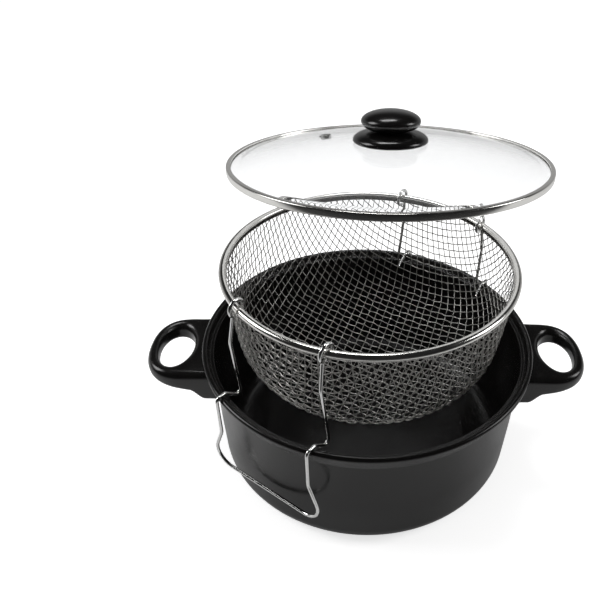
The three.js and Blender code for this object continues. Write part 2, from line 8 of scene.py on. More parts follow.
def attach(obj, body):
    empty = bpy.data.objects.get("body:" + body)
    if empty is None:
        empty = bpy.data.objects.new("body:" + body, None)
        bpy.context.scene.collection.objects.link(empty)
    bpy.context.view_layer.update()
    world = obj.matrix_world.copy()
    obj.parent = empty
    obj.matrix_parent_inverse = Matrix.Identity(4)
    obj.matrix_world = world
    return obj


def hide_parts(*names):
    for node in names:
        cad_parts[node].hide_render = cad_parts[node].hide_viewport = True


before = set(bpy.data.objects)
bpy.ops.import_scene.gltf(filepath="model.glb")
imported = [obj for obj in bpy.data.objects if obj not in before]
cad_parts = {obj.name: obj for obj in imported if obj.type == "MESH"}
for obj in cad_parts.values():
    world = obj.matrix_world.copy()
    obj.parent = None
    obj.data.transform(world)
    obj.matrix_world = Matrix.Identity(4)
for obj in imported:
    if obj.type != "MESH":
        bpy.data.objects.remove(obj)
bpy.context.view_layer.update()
scene = bpy.context.scene
scene.view_settings.view_transform = "Standard"

MM = 0.001


# Camera. A short telephoto on a copy stand, turned a little to the pot's left
# and looking down on it, level with the lid's far edge.

CAMERA_DISTANCE = 491.5 * MM
CAMERA_TARGET = Vector((0, 0, 102 * MM))
NEAREST_SEEN = 10 * MM
CAMERA_PITCH = math.radians(38.75)
CAMERA_TURN = math.radians(-1.8)
CAMERA_ROLL = math.radians(2)
PICTURE_SIDE = 600
FOCAL_SHARE = 640 / PICTURE_SIDE
ACROSS_SHIFT = -68.3 / PICTURE_SIDE
UP_SHIFT = 33.6 / PICTURE_SIDE
SENSOR_WIDTH = 36

toward = Vector((0, math.cos(CAMERA_PITCH), -math.sin(CAMERA_PITCH)))
turn = Matrix.Rotation(CAMERA_TURN, 3, "Z")
forward = turn @ toward
level_right = turn @ Vector((1, 0, 0))
level_up = level_right.cross(forward)
right = level_right * math.cos(CAMERA_ROLL) + level_up * math.sin(CAMERA_ROLL)
up = right.cross(forward)
camera_data = bpy.data.cameras.new("studio_camera")
camera_data.sensor_width = SENSOR_WIDTH
camera_data.lens = FOCAL_SHARE * SENSOR_WIDTH
camera_data.shift_x = ACROSS_SHIFT
camera_data.shift_y = UP_SHIFT
camera_data.clip_start = NEAREST_SEEN
camera = bpy.data.objects.new("studio_camera", camera_data)
scene.collection.objects.link(camera)
camera.matrix_world = Matrix.Translation(CAMERA_TARGET - forward * CAMERA_DISTANCE) @ Matrix(
    (right, up, -forward)
).transposed().to_4x4()
scene.camera = camera


# Studio. A wide white table in front of a white backdrop, with a soft box on
# each side and one above. The room is dark overhead and behind the camera, and
# the front of the table is painted dark in reflections only, as painted shade.

TABLE_HALF = 6.0
TABLE_GLOW = 0.66
TABLE_GLOW_IN_GLOSS = 0.03
TABLE_PAINT = 0.82
TABLE_FADES_FROM = -0.12
TABLE_DARK_BEYOND = -0.42
# Colour of the painted shade on the table's front, seen only in reflections.
PAINTED_TABLE_SHADE = 0.06
ROOM_LIGHT = 0.4
ROOM_DARK = 0.02
BACKDROP_IN_GLOSS = 0.5
BACKDROP_WHITE_UP_TO = 0.12
BACKDROP_GONE_ABOVE = 0.5
BACKDROP_STARTS_AT = -0.2
BACKDROP_WHITE_BEHIND = 0.25


def new_nodes(owner):
    """An empty node tree for a world or a material."""
    owner.use_nodes = True
    owner.node_tree.nodes.clear()
    return owner.node_tree.nodes, owner.node_tree.links


def counted(nodes, links, operation, first, second):
    """The result of one sum with two values, each a socket or a number."""
    sum_node = nodes.new("ShaderNodeMath")
    sum_node.operation = operation
    for place, value in enumerate((first, second)):
        if isinstance(value, (int, float)):
            sum_node.inputs[place].default_value = value
        else:
            links.new(value, sum_node.inputs[place])
    return sum_node.outputs[0]


def seen_by(nodes, links, shares):
    """A share for each kind of ray that looks at the surface, zero for the rest."""
    light_path = nodes.new("ShaderNodeLightPath")
    total = 0.0
    for ray, share in shares.items():
        part = counted(nodes, links, "MULTIPLY", light_path.outputs[ray], share)
        total = counted(nodes, links, "MAXIMUM", part, total)
    return total


def ramp(nodes, links, value, start, end, low, high):
    """A smooth change from low to high while the value goes from start to end."""
    smooth = nodes.new("ShaderNodeMapRange")
    smooth.interpolation_type = "SMOOTHSTEP"
    smooth.inputs["From Min"].default_value = start
    smooth.inputs["From Max"].default_value = end
    smooth.inputs["To Min"].default_value = low
    smooth.inputs["To Max"].default_value = high
    links.new(value, smooth.inputs["Value"])
    return smooth.outputs["Result"]


room = bpy.data.worlds.new("studio_room")
scene.world = room
nodes, links = new_nodes(room)
direction = nodes.new("ShaderNodeTexCoord")
split = nodes.new("ShaderNodeSeparateXYZ")
links.new(direction.outputs["Generated"], split.inputs[0])
low_down = ramp(
    nodes, links, split.outputs["Z"], BACKDROP_WHITE_UP_TO, BACKDROP_GONE_ABOVE, 1, 0
)
behind = ramp(
    nodes, links, split.outputs["Y"], BACKDROP_STARTS_AT, BACKDROP_WHITE_BEHIND, 0, 1
)
backdrop = counted(nodes, links, "MULTIPLY", low_down, behind)
seen_dimly = counted(nodes, links, "MULTIPLY", backdrop, BACKDROP_IN_GLOSS)
in_gloss = counted(nodes, links, "MAXIMUM", seen_dimly, ROOM_DARK)
gloss_mix = nodes.new("ShaderNodeMix")
gloss_mix.inputs["A"].default_value = ROOM_LIGHT
links.new(in_gloss, gloss_mix.inputs["B"])
links.new(seen_by(nodes, links, {"Is Glossy Ray": 1}), gloss_mix.inputs["Factor"])
white_mix = nodes.new("ShaderNodeMix")
white_mix.inputs["B"].default_value = 1
links.new(gloss_mix.outputs["Result"], white_mix.inputs["A"])
links.new(
    seen_by(nodes, links, {"Is Camera Ray": 1, "Is Transmission Ray": 1}),
    white_mix.inputs["Factor"],
)
glow = nodes.new("ShaderNodeBackground")
links.new(white_mix.outputs["Result"], glow.inputs["Strength"])
room_out = nodes.new("ShaderNodeOutputWorld")
links.new(glow.outputs[0], room_out.inputs["Surface"])

table_paint = bpy.data.materials.new("white_table")
nodes, links = new_nodes(table_paint)
matt = nodes.new("ShaderNodeBsdfDiffuse")
on_table = nodes.new("ShaderNodeNewGeometry")
place = nodes.new("ShaderNodeSeparateXYZ")
links.new(on_table.outputs["Position"], place.inputs[0])
in_front = ramp(nodes, links, place.outputs["Y"], TABLE_DARK_BEYOND, TABLE_FADES_FROM, 1, 0)
not_through_glass = counted(
    nodes, links, "SUBTRACT", 1.0, seen_by(nodes, links, {"Is Transmission Ray": 1})
)
mirrored = counted(
    nodes, links, "MULTIPLY", seen_by(nodes, links, {"Is Glossy Ray": 1}), not_through_glass
)
# Painted shade: the table's front turns dark and stops glowing, only where a reflection sees it.
painted_shade_in_gloss = counted(nodes, links, "MULTIPLY", mirrored, in_front)
paint_mix = nodes.new("ShaderNodeMix")
paint_mix.inputs["A"].default_value = TABLE_PAINT
paint_mix.inputs["B"].default_value = PAINTED_TABLE_SHADE
links.new(painted_shade_in_gloss, paint_mix.inputs["Factor"])
links.new(paint_mix.outputs["Result"], matt.inputs["Color"])
light = nodes.new("ShaderNodeEmission")
glow_shares = {
    "Is Camera Ray": TABLE_GLOW,
    "Is Transmission Ray": TABLE_GLOW,
    "Is Glossy Ray": TABLE_GLOW_IN_GLOSS,
}
kept_glow = counted(nodes, links, "SUBTRACT", 1.0, painted_shade_in_gloss)
glow_seen = seen_by(nodes, links, glow_shares)
links.new(counted(nodes, links, "MULTIPLY", glow_seen, kept_glow), light.inputs["Strength"])
both = nodes.new("ShaderNodeAddShader")
links.new(matt.outputs[0], both.inputs[0])
links.new(light.outputs[0], both.inputs[1])
table_out = nodes.new("ShaderNodeOutputMaterial")
links.new(both.outputs[0], table_out.inputs["Surface"])
table_mesh = bpy.data.meshes.new("table_top")
table_mesh.from_pydata(
    [
        (-TABLE_HALF, -TABLE_HALF, 0),
        (TABLE_HALF, -TABLE_HALF, 0),
        (TABLE_HALF, TABLE_HALF, 0),
        (-TABLE_HALF, TABLE_HALF, 0),
    ],
    [],
    [(0, 1, 2, 3)],
)
table_mesh.materials.append(table_paint)
table_top = bpy.data.objects.new("table_top", table_mesh)
scene.collection.objects.link(table_top)


def soft_box(name, spot, size, power):
    """A rectangular light that faces the pot."""
    data = bpy.data.lights.new(name, "AREA")
    data.shape = "RECTANGLE"
    data.size, data.size_y = size
    data.energy = power
    lamp = bpy.data.objects.new(name, data)
    lamp.location = spot
    lamp.rotation_euler = (CAMERA_TARGET - lamp.location).to_track_quat("-Z", "Y").to_euler()
    scene.collection.objects.link(lamp)


soft_box("left_soft_box", spot=(-1.15, 0.1, 0.95), size=(0.6, 0.7), power=8)
soft_box("right_soft_box", spot=(1.2, 0, 0.8), size=(0.5, 0.6), power=5)
soft_box("top_soft_box", spot=(-0.15, 0.75, 1.9), size=(0.8, 0.35), power=9)


# Pot body. Drawn from one steel sheet, with a rolled bead round its rim, an
# inner ledge for the lid, and a black coating baked on inside and out.

POT_HEIGHT = 102
RIM_RADIUS = 125
WALL_RADIUS = 117.8
LOWER_WALL_RADIUS = 116.4
BASE_CORNER_RADIUS = 15
WALL_THICKNESS = 1.6
BASE_THICKNESS = 2.4
BEAD_RADIUS = 2.2
RIM_STEP_HEIGHT = 16
RIM_FLARE_HEIGHT = 7.4
LEDGE_DEPTH = 4.6
LEDGE_WIDTH = 3
LEDGE_EDGE = 0.8
FLOOR_RING_RADIUS = 84
FLOOR_RING_HEIGHT = 0.5
FLOOR_RING_EASE = 1
WALL_BOW = 0.6
STEP_CURVE = ((0, -1), (0.2, 0), (0.7, 1.4))
FLARE_CURVE = ((-0.4, -1.4), (0, 0))
BEAD_TUCK = (0.3, -1.98)
BEAD_FROM = -60
BEAD_TO = 165
COAT_COLOR = (0.005, 0.0047, 0.0046)
COAT_DARK = (0.0038, 0.0035, 0.0034)
COAT_PALE = (0.0064, 0.0058, 0.0056)
COAT_ROUGHNESS = (0.17, 0.25)
COAT_CLOUDS = 26
COAT_GRAINS = 900
COAT_RELIEF = 0.004
NOISE_LOW = 0.3
NOISE_HIGH = 0.7
POT_STEPS = 224
CORNER_STEPS = 16
BEAD_STEPS = 18
LEDGE_STEPS = 4
NO_RADIUS = 1e-6
GAP = 0.3


def arc(centre_x, centre_y, radius, start, end, steps):
    """Points of an arc in a profile, from one angle to another in degrees."""
    angles = np.radians(np.linspace(start, end, steps + 1))
    return [
        (centre_x + radius * math.cos(a), centre_y + radius * math.sin(a)) for a in angles
    ]


def turned(profile, steps, closed=False):
    """Points and faces of a piece turned about Z from its (radius, height) profile."""
    points, rings, faces = [], [], []
    for radius, height in profile:
        if radius < NO_RADIUS:
            rings.append([len(points)] * steps)
            points.append((0, 0, height))
            continue
        rings.append(list(range(len(points), len(points) + steps)))
        for k in range(steps):
            angle = math.tau * k / steps
            points.append((radius * math.cos(angle), radius * math.sin(angle), height))
    pairs = list(zip(rings, rings[1:]))
    if closed:
        pairs.append((rings[-1], rings[0]))
    for low, high in pairs:
        for k in range(steps):
            following = (k + 1) % steps
            corners = [low[k], low[following], high[following], high[k]]
            face = list(dict.fromkeys(corners))
            if len(face) > 2:
                faces.append(face)
    return points, faces


def piece(name, points, faces, material, body, sharp=35, place=None):
    """A shown piece in millimetres of the pot's frame, riding on a body."""
    mesh = bpy.data.meshes.new(name)
    mesh.from_pydata([tuple(p) for p in points], [], [tuple(f) for f in faces])
    mesh.transform(Matrix.Scale(MM, 4) @ (place or Matrix()))
    mesh.polygons.foreach_set("use_smooth", [True] * len(mesh.polygons))
    mesh.set_sharp_from_angle(angle=math.radians(sharp))
    mesh.materials.append(material)
    made = bpy.data.objects.new(name, mesh)
    scene.collection.objects.link(made)
    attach(made, body)
    return made


def finish(name, color, roughness, metallic=0, ior=1.5):
    """A material with its plain sockets set. Its surface detail is added after."""
    material = bpy.data.materials.new(name)
    nodes, links = new_nodes(material)
    shader = nodes.new("ShaderNodeBsdfPrincipled")
    shader.inputs["Base Color"].default_value = (*color, 1)
    shader.inputs["Roughness"].default_value = roughness
    shader.inputs["Metallic"].default_value = metallic
    shader.inputs["IOR"].default_value = ior
    out = nodes.new("ShaderNodeOutputMaterial")
    links.new(shader.outputs[0], out.inputs["Surface"])
    return material, nodes, links, shader


def grain(nodes, links, scale, detail=3, stretch=(1, 1, 1)):
    """A noise over the piece's own coordinates, in grains per metre."""
    coordinates = nodes.new("ShaderNodeTexCoord")
    spread = nodes.new("ShaderNodeMapping")
    spread.inputs["Scale"].default_value = stretch
    links.new(coordinates.outputs["Object"], spread.inputs[0])
    noise = nodes.new("ShaderNodeTexNoise")
    noise.inputs["Scale"].default_value = scale
    noise.inputs["Detail"].default_value = detail
    links.new(spread.outputs[0], noise.inputs["Vector"])
    return noise.outputs["Fac"]


def between(nodes, links, factor, low, high):
    """A value that goes from low to high over the middle of a noise."""
    reach = nodes.new("ShaderNodeMapRange")
    reach.inputs["From Min"].default_value = NOISE_LOW
    reach.inputs["From Max"].default_value = NOISE_HIGH
    reach.inputs["To Min"].default_value = low
    reach.inputs["To Max"].default_value = high
    links.new(factor, reach.inputs["Value"])
    return reach.outputs["Result"]


def tint(nodes, links, factor, first, second):
    """A colour between two, by the factor."""
    mix = nodes.new("ShaderNodeMix")
    mix.data_type = "RGBA"
    links.new(factor, mix.inputs["Factor"])
    mix.inputs["A"].default_value = (*first, 1)
    mix.inputs["B"].default_value = (*second, 1)
    return mix.outputs["Result"]


def relief(nodes, links, shader, factor, depth):
    """Bumps of a depth in millimetres on the shader."""
    bump = nodes.new("ShaderNodeBump")
    bump.inputs["Distance"].default_value = depth * MM
    bump.inputs["Strength"].default_value = 1
    links.new(factor, bump.inputs["Height"])
    links.new(bump.outputs[0], shader.inputs["Normal"])


baked_black, nodes, links, shader = finish("baked_black", COAT_COLOR, roughness=0.2, ior=1.4)
cloud = grain(nodes, links, COAT_CLOUDS)
fine = grain(nodes, links, COAT_GRAINS)
links.new(between(nodes, links, cloud, *COAT_ROUGHNESS), shader.inputs["Roughness"])
links.new(tint(nodes, links, fine, COAT_DARK, COAT_PALE), shader.inputs["Base Color"])
relief(nodes, links, shader, fine, COAT_RELIEF)

ledge_outer = WALL_RADIUS - WALL_THICKNESS + LEDGE_WIDTH + GAP
bead_x = RIM_RADIUS - BEAD_RADIUS
bead_z = POT_HEIGHT - BEAD_RADIUS
wall_top = POT_HEIGHT - RIM_STEP_HEIGHT
flare_radius = WALL_RADIUS + LEDGE_WIDTH
flare_top = POT_HEIGHT - RIM_FLARE_HEIGHT
corner_x = LOWER_WALL_RADIUS - BASE_CORNER_RADIUS
inner_corner = BASE_CORNER_RADIUS - WALL_THICKNESS
ledge_z = POT_HEIGHT - LEDGE_DEPTH
ledge_inner = WALL_RADIUS - WALL_THICKNESS + GAP
pot_profile = [
    (0, 0),
    *arc(corner_x, BASE_CORNER_RADIUS, BASE_CORNER_RADIUS, -90, 0, CORNER_STEPS),
    (WALL_RADIUS - WALL_BOW, wall_top / 2),
    *((WALL_RADIUS + out, wall_top + rise) for out, rise in STEP_CURVE),
    *((flare_radius + out, flare_top + rise) for out, rise in FLARE_CURVE),
    (flare_radius + BEAD_TUCK[0], bead_z + BEAD_TUCK[1]),
    *arc(bead_x, bead_z, BEAD_RADIUS, BEAD_FROM, BEAD_TO, BEAD_STEPS),
    *arc(ledge_outer - LEDGE_EDGE, ledge_z + LEDGE_EDGE, LEDGE_EDGE, 0, -90, LEDGE_STEPS),
    *arc(ledge_inner + LEDGE_EDGE, ledge_z - LEDGE_EDGE, LEDGE_EDGE, 90, 180, LEDGE_STEPS),
    (WALL_RADIUS - WALL_THICKNESS, wall_top),
    *arc(corner_x, BASE_THICKNESS + inner_corner, inner_corner, 0, -90, CORNER_STEPS),
    (FLOOR_RING_RADIUS + FLOOR_RING_EASE, BASE_THICKNESS),
    (FLOOR_RING_RADIUS, BASE_THICKNESS + FLOOR_RING_HEIGHT),
    (FLOOR_RING_RADIUS - FLOOR_RING_EASE, BASE_THICKNESS + FLOOR_RING_HEIGHT),
    (0, BASE_THICKNESS + FLOOR_RING_HEIGHT),
]
pot_shell = piece("pot_shell", *turned(pot_profile, POT_STEPS), baked_black, "pot", sharp=50)
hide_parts("pot_body")


# Side handles. Moulded in black bakelite as a rounded loop round a finger
# hole, with a deeper pad at the wall, where a screw holds each to its stud.

HANDLE_REACH = 168.9
HANDLE_HALF_WIDTH = 35.4
HANDLE_TOP = 89
HANDLE_BOTTOM = 63
HANDLE_STRAIGHT_X = 140
HOLE_X = 148.2
HOLE_HALF_DEPTH = 12.8
HOLE_HALF_WIDTH = 23.2
PAD_REACH = 123
LOOP_ROOT_X = 134
LOOP_TIP_THICKNESS = 10
LOOP_ROOT_THICKNESS = 17.5
END_FULLNESS = 0.62
FLANK_FULLNESS = 0.72
TOP_ROUNDING = 5.6
HOLE_ROUNDING = 5.6
UNDER_ROUNDING = 4
SEAM_ROUNDING = 0.5
NARROWEST_SHARE = 0.48
STUD_HEIGHT = 77.5
STUD_FLANGE_RADIUS = 8
STUD_FLANGE_THICKNESS = 3
STUD_BOSS_RADIUS = 4.5
STUD_BOSS_LENGTH = 9
SCREW_HEAD_RADIUS = 4
SCREW_SHANK_RADIUS = 2
SCREW_HEAD_HEIGHT = 2.6
MOULDED_COLOR = (0.0055, 0.0052, 0.005)
MOULDED_DARK = (0.0045, 0.0042, 0.0042)
MOULDED_PALE = (0.0075, 0.007, 0.0066)
MOULDED_ROUGHNESS = (0.16, 0.26)
MOULDED_CLOUDS = 45
MOULDED_GRAINS = 1500
MOULDED_RELIEF = 0.003
SCREW_ROUGHNESS = (0.22, 0.4)
SCREW_COLOR = (0.42, 0.42, 0.41)
TURNING_MARKS = 400
TURNING_RELIEF = 0.01
POCKET_STEPS = 48
AROUND_STEPS = 192
ROUNDING_STEPS = 6
SIDE_STEPS = 12
END_STEPS = 24
CENTRE_INSET = 2

moulded_black, nodes, links, shader = finish("moulded_black", MOULDED_COLOR, roughness=0.2)
cloud = grain(nodes, links, MOULDED_CLOUDS)
fine = grain(nodes, links, MOULDED_GRAINS, detail=2)
links.new(between(nodes, links, cloud, *MOULDED_ROUGHNESS), shader.inputs["Roughness"])
links.new(tint(nodes, links, cloud, MOULDED_DARK, MOULDED_PALE), shader.inputs["Base Color"])
relief(nodes, links, shader, fine, MOULDED_RELIEF)


def cubic(start, first, second, end, steps):
    """Points of a Bezier curve, without its last one."""
    ways = np.linspace(0, 1, steps, endpoint=False)[:, None]
    a, b, c, d = (np.array(p, float) for p in (start, first, second, end))
    rest = 1 - ways
    return a * rest**3 + 3 * b * rest**2 * ways + 3 * c * rest * ways**2 + d * ways**3


def handle_outline():
    """The handle's plan, round from the middle of its pad."""
    run = HANDLE_REACH - HANDLE_STRAIGHT_X
    flank_x = HANDLE_STRAIGHT_X + run * FLANK_FULLNESS
    nose_y = HANDLE_HALF_WIDTH * END_FULLNESS
    seat = WALL_RADIUS + GAP
    pad_x = math.sqrt(seat**2 - HANDLE_HALF_WIDTH**2)
    pad_angle = math.asin(HANDLE_HALF_WIDTH / seat)
    lower_pad = [
        (seat * math.cos(a), seat * math.sin(a))
        for a in np.linspace(0, -pad_angle, SIDE_STEPS, endpoint=False)
    ]
    flank_places = np.linspace(pad_x, HANDLE_STRAIGHT_X, SIDE_STEPS)[:-1]
    flank = [(x, -HANDLE_HALF_WIDTH) for x in flank_places]
    end = cubic(
        (HANDLE_STRAIGHT_X, -HANDLE_HALF_WIDTH),
        (flank_x, -HANDLE_HALF_WIDTH),
        (HANDLE_REACH, -nose_y),
        (HANDLE_REACH, 0),
        END_STEPS,
    )
    half = np.array([*lower_pad, *flank, *end, (HANDLE_REACH, 0)])
    other = half[-2:0:-1] * (1, -1)
    return np.vstack([half, other])


def handle_mesh():
    """Rings of points round the finger hole, one cross-section at each."""
    outline = handle_outline()
    centre = np.array((HOLE_X - CENTRE_INSET, 0))
    arms = outline - centre
    bearing = np.unwrap(np.arctan2(arms[:, 1], arms[:, 0]))
    order = np.argsort(bearing)
    bearing, arms = bearing[order], arms[order]
    bearing = np.concatenate([bearing - math.tau, bearing, bearing + math.tau])
    arms = np.vstack([arms, arms, arms])
    points, faces = [], []
    for k in range(AROUND_STEPS):
        angle = -math.pi + math.tau * k / AROUND_STEPS
        outer = centre + [np.interp(angle, bearing, arms[:, i]) for i in (0, 1)]
        hole_angle = math.atan2(
            (outer[1] - centre[1]) / HOLE_HALF_WIDTH, (outer[0] - HOLE_X) / HOLE_HALF_DEPTH
        )
        inner = np.array(
            (
                HOLE_X + HOLE_HALF_DEPTH * math.cos(hole_angle),
                HOLE_HALF_WIDTH * math.sin(hole_angle),
            )
        )
        at_wall = np.hypot(*outer) < WALL_RADIUS + 2 * GAP
        outer_rounding = SEAM_ROUNDING if at_wall else TOP_ROUNDING
        under_rounding = SEAM_ROUNDING if at_wall else UNDER_ROUNDING
        width = np.linalg.norm(outer - inner)
        direction = (outer - inner) / width
        above = [(way, -drop) for way, drop in edge_ways(HOLE_ROUNDING, width)]
        for way, drop in reversed(edge_ways(outer_rounding, width)):
            above.append((width - way, -drop))
        below = [(width - way, drop) for way, drop in edge_ways(under_rounding, width)]
        below += reversed(edge_ways(UNDER_ROUNDING, width))
        for way, rise in above:
            spot = inner + direction * way
            points.append((*spot, HANDLE_TOP + rise))
        for way, rise in below:
            spot = inner + direction * way
            points.append((*spot, underside(spot[0]) + rise))
        count = len(above) + len(below)
        for i in range(count):
            j = (i + 1) % count
            low, high = k * count, (k + 1) % AROUND_STEPS * count
            faces.append((low + i, low + j, high + j, high + i))
    return points, faces


def edge_ways(radius, width):
    """Ways in from an edge and drops below the face, over a rounded edge."""
    reach = min(radius, width * NARROWEST_SHARE)
    return [
        (reach * (1 - math.cos(a)), radius * (1 - math.sin(a)))
        for a in np.linspace(0, math.pi / 2, ROUNDING_STEPS + 1)
    ]


def underside(x):
    """Height of the handle's underside: a pad, a step up, then a rising loop."""
    if x <= PAD_REACH:
        return HANDLE_BOTTOM
    root = HANDLE_TOP - LOOP_ROOT_THICKNESS
    tip = HANDLE_TOP - LOOP_TIP_THICKNESS
    if x >= LOOP_ROOT_X:
        return root + (tip - root) * (x - LOOP_ROOT_X) / (HANDLE_REACH - LOOP_ROOT_X)
    share = (x - PAD_REACH) / (LOOP_ROOT_X - PAD_REACH)
    return HANDLE_BOTTOM + (root - HANDLE_BOTTOM) * share * share * (3 - 2 * share)


def cut(target, tool):
    """Takes the tool's form out of a piece, and removes the tool."""
    cutting = target.modifiers.new("cut", "BOOLEAN")
    cutting.object = tool
    cutting.solver = "EXACT"
    graph = bpy.context.evaluated_depsgraph_get()
    made = bpy.data.meshes.new_from_object(target.evaluated_get(graph))
    target.modifiers.clear()
    target.data = made
    bpy.data.objects.remove(tool)


def dress(node, material):
    """Gives a node that stays as the frame has it its material."""
    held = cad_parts[node]
    held.data.materials.clear()
    held.data.materials.append(material)


steel_screw, nodes, links, shader = finish("steel_screw", SCREW_COLOR, roughness=0.3, metallic=1)
turning = grain(nodes, links, TURNING_MARKS, stretch=(0.2, 1, 1))
links.new(between(nodes, links, turning, *SCREW_ROUGHNESS), shader.inputs["Roughness"])
relief(nodes, links, shader, turning, TURNING_RELIEF)

screw_seat_x = HOLE_X - HOLE_HALF_DEPTH - SCREW_HEAD_HEIGHT - GAP
flange_end = WALL_RADIUS + STUD_FLANGE_THICKNESS + GAP
boss_end = WALL_RADIUS + STUD_BOSS_LENGTH + GAP
pocket_profile = [
    (0, WALL_RADIUS - WALL_THICKNESS),
    (STUD_FLANGE_RADIUS + GAP, WALL_RADIUS - WALL_THICKNESS),
    (STUD_FLANGE_RADIUS + GAP, flange_end),
    (STUD_BOSS_RADIUS + GAP, flange_end),
    (STUD_BOSS_RADIUS + GAP, boss_end),
    (SCREW_SHANK_RADIUS + GAP, boss_end),
    (SCREW_SHANK_RADIUS + GAP, screw_seat_x),
    (SCREW_HEAD_RADIUS + GAP, screw_seat_x),
    (SCREW_HEAD_RADIUS + GAP, HOLE_X),
    (0, HOLE_X),
]
for side, turned_by in (("right", 0), ("left", math.pi)):
    handle = piece(
        "handle_loop_" + side,
        *handle_mesh(),
        moulded_black,
        "pot",
        sharp=50,
        place=Matrix.Rotation(turned_by, 4, "Z"),
    )
    pocket = piece(
        "handle_pocket_" + side,
        *turned(pocket_profile, POCKET_STEPS),
        moulded_black,
        "pot",
        place=Matrix.Rotation(turned_by, 4, "Z")
        @ Matrix.Translation((0, 0, STUD_HEIGHT))
        @ Matrix.Rotation(math.pi / 2, 4, "Y"),
    )
    cut(handle, pocket)
    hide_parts("side_handle_" + side)
    dress("weld_stud_" + side, steel_screw)
    dress("handle_screw_" + side, steel_screw)


# Rim band. Bright steel strip, rolled into a bead over a stiffening wire and
# the net's edge. Its inner edge is a straight flange, its outer edge a lip.

BAND_Z = 166.5
BAND_OUTER = 105.4
BAND_INNER = 100.2
BAND_HEIGHT = 5.4
BAND_SHEET = 0.5
LIP_OFFSET = 0.1
LIP_DROP = 0.6
HEM_INSET = 1
BAND_COLOR = (0.72, 0.71, 0.68)
BAND_DARK = (0.66, 0.65, 0.62)
BAND_PALE = (0.78, 0.77, 0.75)
BAND_ROUGHNESS = (0.1, 0.2)
ROLLING_MARKS = 60
ROLLING_RELIEF = 0.02
BAND_STEPS = 224
BEAD_OUTSIDE_STEPS = 36
BEAD_INSIDE_STEPS = 20
SHEET_EDGE_STEPS = 6

rolled_steel, nodes, links, shader = finish("rolled_steel", BAND_COLOR, roughness=0.14, metallic=1)
marks = grain(nodes, links, ROLLING_MARKS, detail=4, stretch=(1, 1, 8))
links.new(between(nodes, links, marks, *BAND_ROUGHNESS), shader.inputs["Roughness"])
links.new(tint(nodes, links, marks, BAND_DARK, BAND_PALE), shader.inputs["Base Color"])
relief(nodes, links, shader, marks, ROLLING_RELIEF)


def sheet_edge(inner_x, low_z):
    """The rounded lower edge of a strip of the band's sheet."""
    half = BAND_SHEET / 2
    return arc(inner_x + half, low_z + half, half, 180, 360, SHEET_EDGE_STEPS)


band_middle = (BAND_OUTER + BAND_INNER) / 2
band_low = -BAND_HEIGHT / 2
bead_half = (BAND_OUTER - BAND_INNER) / 2
bead_z = -band_low - bead_half
lip_start = -math.degrees(math.acos((LIP_OFFSET + BAND_SHEET) / bead_half))
lip_inside = -math.degrees(math.acos(LIP_OFFSET / (bead_half - BAND_SHEET)))
band_profile = [
    (band_middle + LIP_OFFSET + BAND_SHEET, band_low - LIP_DROP + BAND_SHEET / 2),
    *arc(band_middle, bead_z, bead_half, lip_start, 180, BEAD_OUTSIDE_STEPS),
    *sheet_edge(BAND_INNER, band_low),
    *arc(band_middle, bead_z, bead_half - BAND_SHEET, 180, lip_inside, BEAD_INSIDE_STEPS),
    *sheet_edge(band_middle + LIP_OFFSET, band_low - LIP_DROP)[:-1],
]
rim_bead = piece(
    "rim_bead",
    *turned(band_profile, BAND_STEPS, closed=True),
    rolled_steel,
    "basket",
    place=Matrix.Translation((0, 0, BAND_Z)),
)
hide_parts("basket_rim_band")
dress("basket_rim_wire", steel_screw)


# Basket net. Square mesh woven from tinned steel wire and drawn into a bowl
# with a sagging floor, a crease round it and a bulging lower wall, so that its
# squares shear into diamonds. Crimped wires run over thin straight ones.

NET_DEPTH = 86.5
FLOOR_RUN = 82
CREASE_RUN = 6
HAUNCH_RUN = 28
SLOPES = np.radians((0, 14, 50, 84))
NET_SHEET = 1.2
CRIMPED_WIRE_RADIUS = 0.41
STRAIGHT_WIRE_RADIUS = 0.32
PITCH_ALONG_CRIMPED = 6.6
PITCH_ALONG_STRAIGHT = 6
CRIMPED_BEARING = math.radians(-31)
STRAIGHT_BEARING = math.radians(73.6)
CRIMP = 0.5
SLIGHT_CRIMP = 0.16
HEM_RISE = 1.6
WIRE_SIDES = 6
STATIONS_PER_CELL = 5
FARTHEST_WIRE = 34
SHORTEST_WIRE = 8
WAY_STEP = 0.2
TIN_COLOR = (0.36, 0.35, 0.335)
TIN_DARK = (0.28, 0.27, 0.26)
TIN_PALE = (0.44, 0.43, 0.41)
TIN_ROUGHNESS = (0.22, 0.42)
TIN_SPOTS = 220
TIN_RELIEF = 0.02

tinned_wire, nodes, links, shader = finish("tinned_wire", TIN_COLOR, roughness=0.32, metallic=1)
dulled = grain(nodes, links, TIN_SPOTS)
links.new(between(nodes, links, dulled, *TIN_ROUGHNESS), shader.inputs["Roughness"])
links.new(tint(nodes, links, dulled, TIN_DARK, TIN_PALE), shader.inputs["Base Color"])
relief(nodes, links, shader, dulled, TIN_RELIEF)

hem_radius = band_middle - HEM_INSET
floor_z = -NET_DEPTH + NET_SHEET / 2
bends = np.cumsum((0, FLOOR_RUN, CREASE_RUN, HAUNCH_RUN))
ways = np.arange(0, 2 * NET_DEPTH, WAY_STEP)
slope = np.interp(ways, bends, SLOPES)
out_r, out_z = np.sin(slope), -np.cos(slope)
bowl_r = np.cumsum(-out_z * WAY_STEP) - WAY_STEP
bowl_z = floor_z + np.cumsum(out_r * WAY_STEP)
way_to_hem = float(np.interp(band_low, bowl_z, ways))
bowl_r *= hem_radius / np.interp(way_to_hem, ways, bowl_r)
bowl_r = np.minimum(bowl_r, hem_radius)


